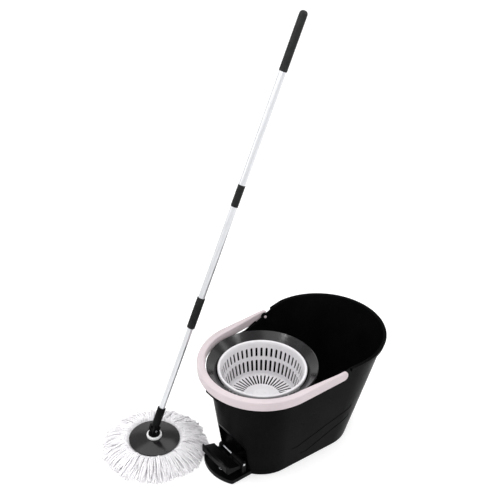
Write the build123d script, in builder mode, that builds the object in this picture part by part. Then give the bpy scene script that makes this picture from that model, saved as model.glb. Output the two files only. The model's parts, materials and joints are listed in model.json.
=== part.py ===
"""Spin mop set: pedal-driven wringing bucket and a telescopic mop with a round swivelling head.

Millimetres, +Z up. The origin is on the wringer basket's spin axis at floor level. +X points to the
wash end of the bucket, and the mop stands beside the basket end, leaning towards +X.
"""
from build123d import *
from math import asin, atan2, ceil, cos, degrees, pi, radians, sin, sqrt
import os

os.makedirs("parts", exist_ok=True)

# ---------------------------------------------------------------- driving dimensions: bucket
base_z = 2.0                    # underside of the shell, held off the floor by the feet
rim_z = 296.0                   # rim at the wash end
low_rim_z = 268.0               # rim at the basket end
basket_end_bottom_r = 96.0
basket_margin = 24.0            # bucket's low rim beyond the basket's rim
wash_end_bottom_x = 163.0
wash_end_bottom_r = 101.0
wash_end_rim_x = 192.0
wash_end_rim_r = 157.5          # at rim_z
shell_wall = 2.8
floor_thickness = 3.0
ramp_start_x = 58.0             # where the rim starts to rise from the basket end
ramp_end_x = 150.0
ramp_end_drop = 3.5             # how far the top of the ramp is below rim_z
lip_reach = 5.5                 # how far the rolled rim stands out of the wall
lip_depth = 9.0
low_lip_start_x = 8.0           # narrow ledge along the low rim, under the bail's arms
low_lip_end_x = 95.0
low_lip_reach = 4.6
low_lip_depth = 5.0
relief_depth = 0.8              # shallow diagonal bands pressed into the side walls
foot_r = 9.0
foot_seat = 2.0

# ---------------------------------------------------------------- driving dimensions: drive
pin_clearance = 0.05            # radial, every running shaft
part_gap = 0.3                  # between pieces that move past each other
hinge_x = -96.0                 # pedal hinge pin, parallel to Y
hinge_z = 42.0
hinge_pin_r = 3.0
pedal_travel = 24.0             # degrees
gear_module = 1.5
pinion_teeth = 12
crown_teeth = 40
gear_axle_r = 3.0
lever_thickness = 8.0
lever_side_gap = 3.2            # between the lever and the crown gear's disc
gear_face = 9.0
crown_disc = 4.0
gear_headroom = 8.5             # from the crown gear's top to the frame plate
shaft_r = 4.0
chamber_half_width = 43.0
chimney_r = 13.0
bush_wall = 2.5
bush_length = 9.0
bush_flange = 1.5
frame_plate = 4.0
frame_cheek = 3.0
frame_length = 64.0
seal_height = 3.0
screw_r = 1.5
screw_head_r = 3.2
screw_head_depth = 1.2
screw_boss_height = 10.0
cover_screw_length = 12.0
boss_wall = 3.0
cover_thickness = 2.4
cover_rib = 1.6

# ---------------------------------------------------------------- driving dimensions: pedal and tray
niche_knee_rise = 18.0          # above the hinge pin
niche_top_z = 130.0
hinge_to_wall = 22.0            # hinge pin to the back of the niche
tray_margin = 7.0               # tray reaches this far beyond the pedal's tip
tray_sagitta = 19.0             # how far the tray's front bows out
tray_overhang = 3.5             # tray's half width beyond the niche's
tray_height = 12.6
tray_wall = 2.6
tray_bottom_z = 0.6
tray_flange_height = 16.8
tray_seat_gap = 0.2
tray_near_corner_r = 8.0
tray_far_corner_r = 18.0        # rounder, to clear the strands lying beside it
pedal_half_width = 52.0
pedal_reach = 51.0              # hinge pin to the pedal's tip
pedal_tip_rise = 15.0           # tip above the hinge pin
pedal_drop = 11.0               # underside below the hinge pin
pedal_lip = 5.0
pedal_barrel_r = 8.0
pedal_window_y = -10.0          # the pin is bare from here to the far knuckle
pedal_window_far_y = 30.0
far_ear_y = 36.5
ear_thickness = 4.0
ear_width = 12.0
ear_relief = 2.5                # pedal cut back beside the far ear, for the travel
niche_side_gap = 0.7            # between the near ear and the niche's side
scoop_r = 90.0
scoop_depth = 7.0
rib_count = 4
rib_width = 2.2
tread_height = 1.0
lever_fit = 0.2
lever_tail_height = 7.0
lever_tail_margin = 14.0        # lever's tail ends this far short of the pedal's tip
lever_arm_width = 13.0
lever_rim = 7.0                 # radial depth of the toothed sector under its teeth
lever_screw_length = 9.0
spring_to_hinge = 28.0
spring_r = 6.0
spring_wire_r = 0.8
spring_turns = 6

# ---------------------------------------------------------------- driving dimensions: basket and collar
basket_rim_r = 110.0
basket_rim_width = 6.0
basket_floor_r = 86.0
basket_floor_z = 176.7
basket_wall = 2.2
basket_rim_depth = 6.0
slot_count = 48
slot_width = 5.6
dome_r = 42.0
dome_rise = 6.5
hub_hex = 26.0                  # across flats
hub_clearance = 0.1             # each side, basket socket on the hub
hub_room = 24.7                 # from the basket's floor down to the chimney's top
hub_flange_r = 16.0
hub_flange = 2.4
clutch_shell_wall = 0.95
clutch_length = 12.0
roller_r = 1.0
roller_count = 6
basket_running_gap = 3.0        # between the basket's rim and the collar's throat
collar_overhang = 3.5           # collar lip beyond the bucket's low rim
collar_rise = 10.6              # collar top above the low rim
collar_throat_drop = 6.0        # throat below the low rim
collar_wall = 2.5
skirt_clearance = 1.7           # between the collar's skirt and the inside of the bucket
skirt_length = 28.0

# ---------------------------------------------------------------- driving dimensions: bail
bail_pivot_x = 124.0
bail_pivot_rise = 13.0          # above the low rim
bail_collar_gap = 4.5           # between the collar's lip and the bail
bail_thickness = 18.0           # round the basket end
bail_arm_thickness = 8.8
bail_side_gap = 3.8             # between the bucket's wall at the pivot and the bail's arm
bail_height = 26.0
bail_sag = 0.85                 # degrees below level at rest
bail_round = 4.0
bail_pin_r = 3.5
bail_pin_head = 0.6
bail_boss_length = 7.0
grip_arc = 46.0                 # half angle of the thicker hand section, degrees
grip_step = 1.6
rest_lug_half_width = 22.0
rest_lug_length = 21.0
rest_lug_height = 11.0

# ---------------------------------------------------------------- driving dimensions: mop
mop_clear_x = 82.5              # from the strands' edge to the basket's axis, along X
mop_overlap_y = 25.5            # how far the strands reach past the tray's edge, along Y
strand_r = 132.0
strand_inner_r = 52.0
strand_height = 27.0
plate_r = 65.0
plate_gap = 0.5                 # between the clip ring's top and the plate's rim
plate_crown_rise = 10.0
plate_wall = 3.0
carrier_inner_r = 44.0          # clip ring that holds the strands under the plate
carrier_outer_r = 56.0
carrier_height = 2.2
hub_ring_r = 19.5
hub_ring_height = 5.0
plate_boss_r = 13.0
plate_neck = 8.0                # depth of the plate's bore
swivel_r = 15.0
swivel_disc = 3.2
swivel_neck_r = 6.0
swivel_screw_depth = 12.0
washer_height = 1.2
fork_gap = 1.0                  # under the fork's ears
fork_pin_r = 3.0
tongue_half = 5.0
tongue_r = 8.0
fork_wall = 3.0                 # round the lower tube
fork_ear_r = 9.5
fork_crotch = 11.0
lean = 23.75                    # degrees from upright, towards +X
fork_length = 65.0
lower_tube_r = 7.5
upper_tube_wall = 0.92
slide_clearance = 0.08
lower_tube_start = 20.0
lower_tube_end = 520.0
guide_length = 24.0
collet_length = 6.0
sleeve_start = 295.0
sleeve_length = 84.0
sleeve_wall = 1.7
sleeve_flutes = 18
connector_start = 623.0
connector_length = 56.0
connector_wall = 0.7
connector_grooves = 5
grip_start = 961.0
grip_length = 144.0
grip_wall = 1.5
tube_wall = 0.8

# the basket end of the bucket is as wide as the basket needs
basket_end_rim_r = basket_rim_r + basket_margin

def basket_end_radius(z):
    """Outer radius of the bucket's basket end at height z."""
    share = (z - base_z) / (low_rim_z - base_z)
    return basket_end_bottom_r + (basket_end_rim_r - basket_end_bottom_r) * share


def wall_ends(z, grow=0.0):
    """Radii of the two rounded ends, x of the wash end's centre, and how the sides spread, at height z."""
    share = (z - base_z) / (rim_z - base_z)
    r1 = basket_end_radius(z) + grow
    r2 = wash_end_bottom_r + (wash_end_rim_r - wash_end_bottom_r) * share + grow
    x2 = wash_end_bottom_x + (wash_end_rim_x - wash_end_bottom_x) * share
    return r1, r2, x2, (r1 - r2) / x2


def wall_half_width(x, z):
    """Half width of the bucket's outer wall between its two rounded ends."""
    r1, r2, x2, spread = wall_ends(z)
    return (r1 - spread * x) / sqrt(1 - spread**2)


# ---------------------------------------------------------------- derived values
# gears
pinion_pitch_r = gear_module * pinion_teeth / 2
crown_pitch_r = gear_module * crown_teeth / 2
sector_teeth = ceil(2 * (abs(hinge_x) + 0.5) / gear_module) - pinion_teeth
sector_pitch_r = gear_module * sector_teeth / 2
centre_distance = sector_pitch_r + pinion_pitch_r
mesh_angle = degrees(asin(sqrt(centre_distance**2 - hinge_x**2) / centre_distance))
gear_axle_z = hinge_z + centre_distance * sin(radians(mesh_angle))
tooth_pitch = pi * gear_module
addendum = 0.8 * gear_module
dedendum = 1.2 * gear_module
teeth_below = ceil(pedal_travel * sector_teeth / 360) + 1
teeth_above = 1
shaft_gear_z = gear_axle_z + crown_pitch_r
crown_face_y = -(pinion_pitch_r + dedendum)     # root plane of the crown teeth
lever_y = crown_face_y - crown_disc - lever_side_gap - lever_thickness / 2
frame_near_y = lever_y - lever_thickness / 2 - 3.0 - frame_cheek
frame_far_y = pinion_pitch_r + addendum + 4.8 + frame_cheek
frame_cheek_width = 2 * gear_axle_r + 7.0
bush_r = shaft_r + bush_wall

# bucket
floor_top_z = base_z + floor_thickness
ramp_end_z = rim_z - ramp_end_drop
chamber_roof_z = shaft_gear_z + gear_face / 2 + gear_headroom + frame_plate
chamber_front_x = crown_pitch_r + gear_face / 2 + 6.5
niche_back_x = hinge_x + hinge_to_wall
niche_knee_z = hinge_z + niche_knee_rise
niche_half_width = pedal_half_width + part_gap + ear_thickness + niche_side_gap
niche_top_x = -basket_end_radius(niche_top_z)
chamber_length = chamber_front_x - niche_back_x - shell_wall
chimney_top_z = basket_floor_z - hub_room
cover_boss_x = (niche_back_x + 10.0, chamber_front_x - 5.0)
cover_boss_y = chamber_half_width - 5.0
cover_boss_points = [(x, y) for x in cover_boss_x for y in (-cover_boss_y, cover_boss_y)]
frame_screw_x = frame_length / 2 - 6.0
frame_screw_points = [(-frame_screw_x, frame_near_y + 8.0), (frame_screw_x, frame_near_y + 8.0),
                      (-frame_screw_x, frame_far_y - 6.0), (frame_screw_x, frame_far_y - 6.0)]
foot_points = [(-40.0, 72.0), (-40.0, -72.0), (wash_end_bottom_x + 30.0, 68.0),
               (wash_end_bottom_x + 30.0, -68.0)]
lever_slot_z = (hinge_z - 20.0, hinge_z + 32.0)

# pedal and tray
pedal_tip_x = hinge_x - pedal_reach
pedal_tip_z = hinge_z + pedal_tip_rise
pedal_under_z = hinge_z - pedal_drop
pedal_plate_inner_x = hinge_x - pedal_barrel_r - 2.0
near_ear_y = -pedal_half_width - part_gap
tray_half_width = niche_half_width + tray_overhang
tray_reach_x = pedal_tip_x - tray_margin
tray_corner_x = tray_reach_x + tray_sagitta
tray_back_x = niche_back_x - tray_seat_gap
tray_floor_z = tray_bottom_z + tray_wall
tray_flange_z = tray_floor_z + tray_flange_height
tray_screw_points = [(2.0, 12.0), (26.0, 12.0)]
ramp_inner_z = hinge_z - 2.5
ramp_outer_x = pedal_tip_x + pedal_lip + 4.0
ramp_outer_z = pedal_tip_z - 7.5
tread_slope = degrees(atan2(ramp_outer_z - ramp_inner_z, pedal_plate_inner_x - ramp_outer_x))
tread_plane = Plane(origin=((ramp_outer_x + pedal_plate_inner_x) / 2, 0,
                            (ramp_outer_z + ramp_inner_z) / 2 - 0.3),
                    x_dir=(cos(radians(tread_slope)), 0, -sin(radians(tread_slope))),
                    z_dir=(sin(radians(tread_slope)), 0, cos(radians(tread_slope))))
tread_length = pedal_plate_inner_x - ramp_outer_x - 4.0
lever_tail_x = pedal_tip_x + lever_tail_margin
lever_screw_points = [(hinge_x - 16.0, lever_y), (hinge_x - 30.0, lever_y)]
lever_screw_seat_z = pedal_under_z - lever_tail_height / 2
spring_x = hinge_x - spring_to_hinge
spring_base_z = tray_floor_z + spring_wire_r + 0.1
spring_height = pedal_under_z - tray_floor_z - 2 * spring_wire_r - part_gap

# basket and collar
basket_wall_top_r = basket_rim_r - basket_rim_width
wall_top_z = low_rim_z - basket_rim_depth
upper_slots_z = (low_rim_z - 42.0, low_rim_z - 17.0)
lower_slots_z = (basket_floor_z + 9.8, basket_floor_z + 41.3)
floor_slots_r = (dome_r + 4.0, basket_floor_r - 5.2)
hub_base_z = chimney_top_z + seal_height + 2 * part_gap
hub_top_z = basket_floor_z + part_gap
hub_bore_r = shaft_r + 2 * part_gap
shaft_top_z = hub_top_z - 2.5
clutch_top_z = hub_top_z - 5.5
clutch_shell_r = shaft_r + 2 * roller_r + pin_clearance + clutch_shell_wall
clutch_base_z = clutch_top_z - clutch_length
socket_base_z = hub_base_z + hub_flange + part_gap
collar_r = basket_end_rim_r + collar_overhang
collar_top_z = low_rim_z + collar_rise
collar_throat_r = basket_rim_r + basket_running_gap
collar_throat_z = low_rim_z - collar_throat_drop
collar_skirt_z = low_rim_z - skirt_length
collar_skirt_r = basket_end_radius(collar_skirt_z) - shell_wall - skirt_clearance
collar_skirt_top_z = (collar_throat_z - 2.5 + (collar_skirt_r - 2 * collar_wall - collar_throat_r)
                      * (collar_top_z - collar_throat_z) / (collar_r - collar_throat_r))

# bail
bail_pivot_z = low_rim_z + bail_pivot_rise
bail_inner_r = collar_r + bail_collar_gap
bail_outer_r = bail_inner_r + bail_thickness
bail_arm_inner_y = wall_half_width(bail_pivot_x, bail_pivot_z) + bail_side_gap
bail_arm_outer_y = bail_arm_inner_y + bail_arm_thickness
bail_end_r = bail_height / 2
bail_boss_r = bail_pin_r + boss_wall + 2.0
bail_pin_end_y = bail_arm_inner_y - part_gap - bail_boss_length - 2.8
bail_plane = Plane(origin=(bail_pivot_x, 0, bail_pivot_z),
                   x_dir=(cos(radians(bail_sag)), 0, sin(radians(bail_sag))),
                   z_dir=(-sin(radians(bail_sag)), 0, cos(radians(bail_sag))))
rest_lug_root_r = basket_end_rim_r - shell_wall - 0.8
rest_lug_reach = rest_lug_root_r + rest_lug_length + 3.0
rest_lug_top_z = (bail_pivot_z - bail_end_r - part_gap
                  - (bail_pivot_x + rest_lug_reach) * sin(radians(bail_sag)))

# mop
mop_x = -strand_r - mop_clear_x
mop_y = tray_half_width + strand_r - mop_overlap_y
plate_rim_z = strand_height + part_gap + carrier_height + plate_gap
plate_crown_z = plate_rim_z + plate_crown_rise
plate_shoulder_r = 0.62 * plate_r
plate_shoulder_z = plate_crown_z - 0.34 * plate_crown_rise
hub_ring_z = plate_crown_z + 1.0
plate_neck_z = hub_ring_z - plate_neck
washer_top_z = plate_neck_z - part_gap
hub_ring_seat_z = plate_crown_z + part_gap
swivel_base_z = hub_ring_z + hub_ring_height + part_gap
pivot_z = swivel_base_z + swivel_disc + fork_gap + fork_ear_r
fork_r = lower_tube_r + fork_wall
upper_bore_r = lower_tube_r + slide_clearance
upper_tube_r = upper_bore_r + upper_tube_wall
sleeve_r = upper_tube_r + sleeve_wall
connector_end = connector_start + connector_length
connector_middle = (connector_start + connector_end) / 2
connector_r = upper_tube_r + connector_wall
grip_end = grip_start + grip_length
grip_r = upper_tube_r + grip_wall
top_tube_end = grip_end - 14.0
mop_axis = Axis((mop_x, mop_y, 0), (0, 0, 1))
mop_plane = Plane.XY.move(Location((mop_x, mop_y, 0)))
mop_side_plane = Plane(origin=(mop_x, mop_y, 0), x_dir=(1, 0, 0), z_dir=(0, -1, 0))
pole = Plane(origin=(mop_x, mop_y, pivot_z), x_dir=(cos(radians(lean)), 0, -sin(radians(lean))),
             z_dir=(sin(radians(lean)), 0, cos(radians(lean))))


def hull_sketch(z, grow=0.0):
    """Outline of the bucket wall at height z, moved outwards by grow."""
    r1, r2, x2, spread = wall_ends(z, grow)
    rise = sqrt(1 - spread**2)
    with BuildSketch(Plane.XY.offset(z)) as outline:
        with BuildLine():
            near_1 = (r1 * spread, -r1 * rise)
            near_2 = (x2 + r2 * spread, -r2 * rise)
            far_2 = (x2 + r2 * spread, r2 * rise)
            far_1 = (r1 * spread, r1 * rise)
            Line(near_1, near_2)
            ThreePointArc(near_2, (x2 + r2, 0), far_2)
            Line(far_2, far_1)
            ThreePointArc(far_1, (-r1, 0), near_1)
        make_face()
    return outline.sketch


def hull_block(bottom_z, top_z, grow=0.0, mode=Mode.ADD):
    """Solid between two heights inside the bucket's outline moved outwards by grow."""
    loft(sections=[hull_sketch(bottom_z, grow), hull_sketch(top_z, grow)], ruled=True, mode=mode)


def rim_profile(drop):
    """Side view of the rim line, lowered by drop, closed far above the bucket."""
    with BuildSketch(Plane.XZ) as side:
        with BuildLine():
            Polyline((ramp_end_x, ramp_end_z - drop), (ramp_start_x, low_rim_z - drop),
                     (-2 * collar_r, low_rim_z - drop), (-2 * collar_r, 2 * rim_z),
                     (3 * wash_end_rim_x, 2 * rim_z), (3 * wash_end_rim_x, rim_z - drop),
                     (wash_end_rim_x, rim_z - drop), (ramp_end_x, ramp_end_z - drop))
        make_face()
    return side.sketch


def tooth_points(pitch_r):
    """One straight-sided gear tooth along +X."""
    return [(pitch_r - dedendum - 0.6, -0.27 * tooth_pitch), (pitch_r - dedendum, -0.27 * tooth_pitch),
            (pitch_r + addendum, -0.11 * tooth_pitch), (pitch_r + addendum, 0.11 * tooth_pitch),
            (pitch_r - dedendum, 0.27 * tooth_pitch), (pitch_r - dedendum - 0.6, 0.27 * tooth_pitch)]


def mop_plane_side(y):
    """Plane square to Y, y beyond the mop's axis, facing -Y."""
    return Plane(origin=(mop_x, mop_y + y, 0), x_dir=(1, 0, 0), z_dir=(0, -1, 0))


def across_pole(y):
    """Plane through the pole's pivot line, y beyond the mop's axis, facing -Y, its y up the pole."""
    return Plane(origin=pole.origin + Vector(0, y, 0), x_dir=pole.x_dir, z_dir=(0, -1, 0))


def pole_height(edge):
    """How far along the pole the middle of an edge lies."""
    return round((edge.center() - pole.origin).dot(pole.z_dir), 3)


def side_plane(x, y, z):
    """Plane square to Y, seen from the near side: its x is +X, its y is +Z, and it faces -Y."""
    return Plane(origin=(x, y, z), x_dir=(1, 0, 0), z_dir=(0, -1, 0))


def ring(plane, outer_r, inner_r, height, mode=Mode.ADD):
    """A ring, or a disc where inner_r is 0, standing on a plane."""
    with BuildSketch(plane) as face:
        Circle(outer_r)
        if inner_r > 0:
            Circle(inner_r, mode=Mode.SUBTRACT)
    extrude(face.sketch, amount=height, mode=mode)


# ================================================================ bucket
with BuildPart() as shell_envelope:
    hull_block(base_z - 2, rim_z, part_gap)

with BuildPart() as rim_roll:
    hull_block(low_rim_z - 30, rim_z, lip_reach)
    hull_block(low_rim_z - 30, rim_z, -shell_wall, mode=Mode.SUBTRACT)
    extrude(rim_profile(0), amount=2 * bail_outer_r, both=True, mode=Mode.SUBTRACT)
    extrude(rim_profile(lip_depth), amount=2 * bail_outer_r, both=True, mode=Mode.INTERSECT)
    with BuildSketch(Plane.XY):
        with Locations((ramp_end_x, 0)):
            Rectangle(3 * wash_end_rim_x, 4 * bail_outer_r, align=(Align.MIN, Align.CENTER))
    extrude(amount=2 * rim_z, mode=Mode.INTERSECT)

with BuildPart() as low_lip:
    hull_block(low_rim_z - 30, rim_z, low_lip_reach)
    hull_block(low_rim_z - 30, rim_z, -shell_wall, mode=Mode.SUBTRACT)
    extrude(rim_profile(0), amount=2 * bail_outer_r, both=True, mode=Mode.SUBTRACT)
    extrude(rim_profile(low_lip_depth), amount=2 * bail_outer_r, both=True, mode=Mode.INTERSECT)
    with BuildSketch(Plane.XY):
        with Locations((low_lip_start_x, 0)):
            Rectangle(low_lip_end_x - low_lip_start_x, 4 * bail_outer_r, align=(Align.MIN, Align.CENTER))
    extrude(amount=2 * rim_z, mode=Mode.INTERSECT)

with BuildPart() as wall_relief:
    hull_block(base_z, rim_z, 1)
    hull_block(base_z, rim_z, -relief_depth, mode=Mode.SUBTRACT)
    with BuildSketch(Plane.XZ):
        with BuildLine():
            Polyline((10, 70), (wash_end_rim_x, 140), (wash_end_rim_x, 128), (30, 66), (10, 70))
        make_face()
        with BuildLine():
            Polyline((45, 34), (wash_end_rim_x, 104), (wash_end_rim_x, 92), (65, 30), (45, 34))
        make_face()
    extrude(amount=2 * bail_outer_r, both=True, mode=Mode.INTERSECT)

with BuildPart() as niche_housing:
    hull_block(base_z, rim_z)
    with BuildSketch(Plane.XZ):
        with BuildLine():
            Polyline((-2 * collar_r, base_z), (niche_back_x + shell_wall, base_z),
                     (niche_back_x + shell_wall, niche_knee_z),
                     (niche_top_x, niche_top_z + shell_wall),
                     (-2 * collar_r, niche_top_z + shell_wall), (-2 * collar_r, base_z))
        make_face()
    extrude(amount=niche_half_width + shell_wall, both=True, mode=Mode.INTERSECT)

with BuildPart() as bucket_shell:
    hull_block(base_z, rim_z)
    hull_block(floor_top_z, rim_z, -shell_wall, mode=Mode.SUBTRACT)
    extrude(rim_profile(0), amount=2 * bail_outer_r, both=True, mode=Mode.SUBTRACT)
    add(rim_roll.part)
    add(low_lip.part)
    add(niche_housing.part)
    # dry chamber over the gears, chimney over the shaft
    with BuildSketch(Plane.XY.offset(base_z)):
        with Locations((niche_back_x, 0)):
            Rectangle(chamber_front_x + shell_wall - niche_back_x, 2 * (chamber_half_width + shell_wall),
                      align=(Align.MIN, Align.CENTER))
    extrude(amount=chamber_roof_z + shell_wall - base_z)
    with BuildSketch(Plane.XY.offset(chamber_roof_z)):
        Circle(chimney_r)
    extrude(amount=chimney_top_z - chamber_roof_z)
    with BuildSketch(Plane.XY.offset(chamber_roof_z)):
        with Locations(*frame_screw_points):
            Circle(screw_r + boss_wall)
    extrude(amount=screw_boss_height)
    # ledge that the bail lies on
    with BuildSketch(Plane.XY.offset(rest_lug_top_z - rest_lug_height)):
        with Locations((-rest_lug_root_r, 0)):
            Rectangle(rest_lug_reach - rest_lug_root_r, 2 * rest_lug_half_width,
                      align=(Align.MAX, Align.CENTER))
    extrude(amount=rest_lug_height)
    # bosses for the bail pins
    for side in (1, -1):
        with BuildSketch(side_plane(bail_pivot_x, side * (bail_arm_inner_y - part_gap), bail_pivot_z)):
            Circle(bail_boss_r)
        extrude(amount=side * bail_boss_length)
    add(wall_relief.part, mode=Mode.SUBTRACT)
    # the niche itself
    with BuildSketch(Plane.XZ):
        with BuildLine():
            Polyline((-2 * collar_r, 0), (niche_back_x, 0), (niche_back_x, niche_knee_z),
                     (niche_top_x, niche_top_z), (-2 * collar_r, niche_top_z), (-2 * collar_r, 0))
        make_face()
    extrude(amount=niche_half_width, both=True, mode=Mode.SUBTRACT)
    # chamber cavity, ledge for its cover, way through for the lever
    with BuildSketch(Plane.XY.offset(base_z)):
        with Locations((niche_back_x + shell_wall, 0)):
            Rectangle(chamber_length, 2 * chamber_half_width, align=(Align.MIN, Align.CENTER))
    extrude(amount=chamber_roof_z - base_z, mode=Mode.SUBTRACT)
    with BuildSketch(Plane.XY.offset(base_z + cover_thickness)):
        with Locations(*cover_boss_points):
            Circle(screw_r + boss_wall)
    extrude(amount=chamber_roof_z - base_z - cover_thickness)
    with BuildSketch(side_plane(0, lever_y + lever_thickness / 2 + 3, 0)):
        with Locations((niche_back_x, (lever_slot_z[0] + lever_slot_z[1]) / 2)):
            Rectangle(4 * shell_wall, lever_slot_z[1] - lever_slot_z[0])
    extrude(amount=lever_thickness + 6, mode=Mode.SUBTRACT)
    with BuildSketch(Plane(origin=(niche_back_x, 0, 0), x_dir=(0, 1, 0), z_dir=(1, 0, 0))):
        with Locations(*tray_screw_points):
            Circle(screw_r + boss_wall)
    extrude(amount=screw_boss_height)
    # bores
    with BuildSketch(Plane.XY.offset(chamber_roof_z - 1)):
        Circle(shaft_r + 3.5)
    extrude(amount=chimney_top_z - bush_length - chamber_roof_z + 1, mode=Mode.SUBTRACT)
    with BuildSketch(Plane.XY.offset(chimney_top_z - bush_length - 1)):
        Circle(bush_r)
    extrude(amount=bush_length + 2, mode=Mode.SUBTRACT)
    with BuildSketch(Plane.XY.offset(chamber_roof_z - 1)):
        with Locations(*frame_screw_points):
            Circle(screw_r)
    extrude(amount=screw_boss_height - 1, mode=Mode.SUBTRACT)
    with BuildSketch(Plane.XY.offset(base_z)):
        with Locations(*cover_boss_points):
            Circle(screw_r)
    extrude(amount=cover_screw_length, mode=Mode.SUBTRACT)
    with BuildSketch(Plane(origin=(niche_back_x, 0, 0), x_dir=(0, 1, 0), z_dir=(1, 0, 0))):
        with Locations(*tray_screw_points):
            Circle(screw_r)
    extrude(amount=screw_boss_height - 2, mode=Mode.SUBTRACT)
    with BuildSketch(Plane.XY.offset(base_z)):
        with Locations(*foot_points):
            Circle(foot_r)
    extrude(amount=foot_seat, mode=Mode.SUBTRACT)
    with BuildSketch(side_plane(bail_pivot_x, 2 * bail_outer_r, bail_pivot_z)):
        Circle(bail_pin_r + pin_clearance)
    extrude(amount=4 * bail_outer_r, mode=Mode.SUBTRACT)
bucket_shell.part.label = "bucket_shell"
export_step(bucket_shell.part, "parts/bucket_shell.step")

with BuildPart() as base_cover:
    with BuildSketch(Plane.XY.offset(base_z)):
        with Locations((niche_back_x + shell_wall + part_gap, 0)):
            Rectangle(chamber_length - 2 * part_gap, 2 * (chamber_half_width - part_gap),
                      align=(Align.MIN, Align.CENTER))
        with Locations(*cover_boss_points):
            Circle(screw_r, mode=Mode.SUBTRACT)
    extrude(amount=cover_thickness)
    with BuildSketch(Plane.XY.offset(base_z + cover_thickness)):
        with GridLocations(0, 24, 1, 3):
            Rectangle(chamber_length - 40, cover_rib)
    extrude(amount=cover_rib)
base_cover.part.label = "base_cover"
export_step(base_cover.part, "parts/base_cover.step")

with BuildPart() as cover_screws:
    with BuildSketch(Plane.XY.offset(base_z - screw_head_depth)):
        with Locations(*cover_boss_points):
            Circle(screw_head_r)
    extrude(amount=screw_head_depth)
    chamfer(cover_screws.edges().group_by(Axis.Z)[0], 0.4)
    with BuildSketch(Plane.XY.offset(base_z)):
        with Locations(*cover_boss_points):
            Circle(screw_r)
    extrude(amount=cover_screw_length - 1)
cover_screws.part.label = "cover_screws"
export_step(cover_screws.part, "parts/cover_screws.step")

with BuildPart() as rubber_feet:
    with BuildSketch(Plane.XY):
        with Locations(*foot_points):
            Circle(foot_r)
    extrude(amount=base_z + foot_seat)
    with BuildSketch(Plane.XY):
        Circle(foot_r)
    extrude(amount=base_z)
    fillet(rubber_feet.edges().group_by(Axis.Z)[0], 0.8)
rubber_feet.part.label = "rubber_feet"
export_step(rubber_feet.part, "parts/rubber_feet.step")

# ================================================================ gear train
with BuildPart() as gearbox_frame:
    with BuildSketch(Plane.XY.offset(chamber_roof_z - frame_plate)):
        with Locations((0, (frame_near_y + frame_far_y) / 2)):
            RectangleRounded(frame_length, frame_far_y - frame_near_y, 4)
        with Locations(*frame_screw_points):
            Circle(screw_r, mode=Mode.SUBTRACT)
        Circle(bush_r, mode=Mode.SUBTRACT)
    extrude(amount=frame_plate)
    for cheek_y in (frame_near_y + frame_cheek, frame_far_y):
        with BuildSketch(side_plane(0, cheek_y, 0)) as cheek:
            with Locations((0, (gear_axle_z + chamber_roof_z - frame_plate) / 2)):
                Rectangle(frame_cheek_width, chamber_roof_z - frame_plate - gear_axle_z)
            with Locations((0, gear_axle_z)):
                Circle(frame_cheek_width / 2)
                Circle(gear_axle_r, mode=Mode.SUBTRACT)
        extrude(amount=frame_cheek)
gearbox_frame.part.label = "gearbox_frame"
export_step(gearbox_frame.part, "parts/gearbox_frame.step")

with BuildPart() as frame_screws:
    with BuildSketch(Plane.XY.offset(chamber_roof_z - frame_plate - screw_head_depth)):
        with Locations(*frame_screw_points):
            Circle(screw_head_r)
    extrude(amount=screw_head_depth)
    with BuildSketch(Plane.XY.offset(chamber_roof_z - frame_plate)):
        with Locations(*frame_screw_points):
            Circle(screw_r)
    extrude(amount=frame_plate + screw_boss_height - 3)
frame_screws.part.label = "frame_screws"
export_step(frame_screws.part, "parts/frame_screws.step")

with BuildPart() as lower_shaft_bush:
    ring(Plane.XY.offset(chamber_roof_z - frame_plate), bush_r, shaft_r + pin_clearance, frame_plate)
    ring(Plane.XY.offset(chamber_roof_z - frame_plate - bush_flange), bush_r + bush_flange,
         shaft_r + pin_clearance, bush_flange)
lower_shaft_bush.part.label = "lower_shaft_bush"
export_step(lower_shaft_bush.part, "parts/lower_shaft_bush.step")

with BuildPart() as upper_shaft_bush:
    ring(Plane.XY.offset(chimney_top_z - bush_length), bush_r, shaft_r + pin_clearance, bush_length)
upper_shaft_bush.part.label = "upper_shaft_bush"
export_step(upper_shaft_bush.part, "parts/upper_shaft_bush.step")

with BuildPart() as shaft_seal:
    ring(Plane.XY.offset(chimney_top_z), chimney_r - 2, shaft_r + pin_clearance, seal_height)
    chamfer(shaft_seal.edges().group_by(Axis.Z)[-1], 0.5)
shaft_seal.part.label = "shaft_seal"
export_step(shaft_seal.part, "parts/shaft_seal.step")

with BuildPart() as gear_axle:
    with BuildSketch(side_plane(0, frame_far_y + 1.5, gear_axle_z)):
        Circle(gear_axle_r)
    extrude(amount=frame_far_y - frame_near_y + 3)
gear_axle.part.label = "gear_axle"
export_step(gear_axle.part, "parts/gear_axle.step")

with BuildPart() as crown_gear:
    ring(side_plane(0, crown_face_y, gear_axle_z), crown_pitch_r + gear_face / 2,
         gear_axle_r + pin_clearance, crown_disc)
    ring(side_plane(0, crown_face_y + addendum + dedendum, gear_axle_z), gear_axle_r + 3.0,
         gear_axle_r + pin_clearance, addendum + dedendum)
    with BuildSketch(side_plane(0, crown_face_y + addendum + dedendum, gear_axle_z)):
        with PolarLocations(0, crown_teeth, start_angle=90):
            with Locations((crown_pitch_r, 0)):
                Rectangle(gear_face - 0.4, 0.26 * tooth_pitch)
    extrude(amount=addendum + dedendum + 0.4)
    with BuildSketch(side_plane(0, crown_face_y - crown_disc + 1.5, gear_axle_z)):
        with PolarLocations(crown_pitch_r * 0.62, 5):
            Circle(5)
    extrude(amount=3, mode=Mode.SUBTRACT)
crown_gear.part.label = "crown_gear"
export_step(crown_gear.part, "parts/crown_gear.step")

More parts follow.
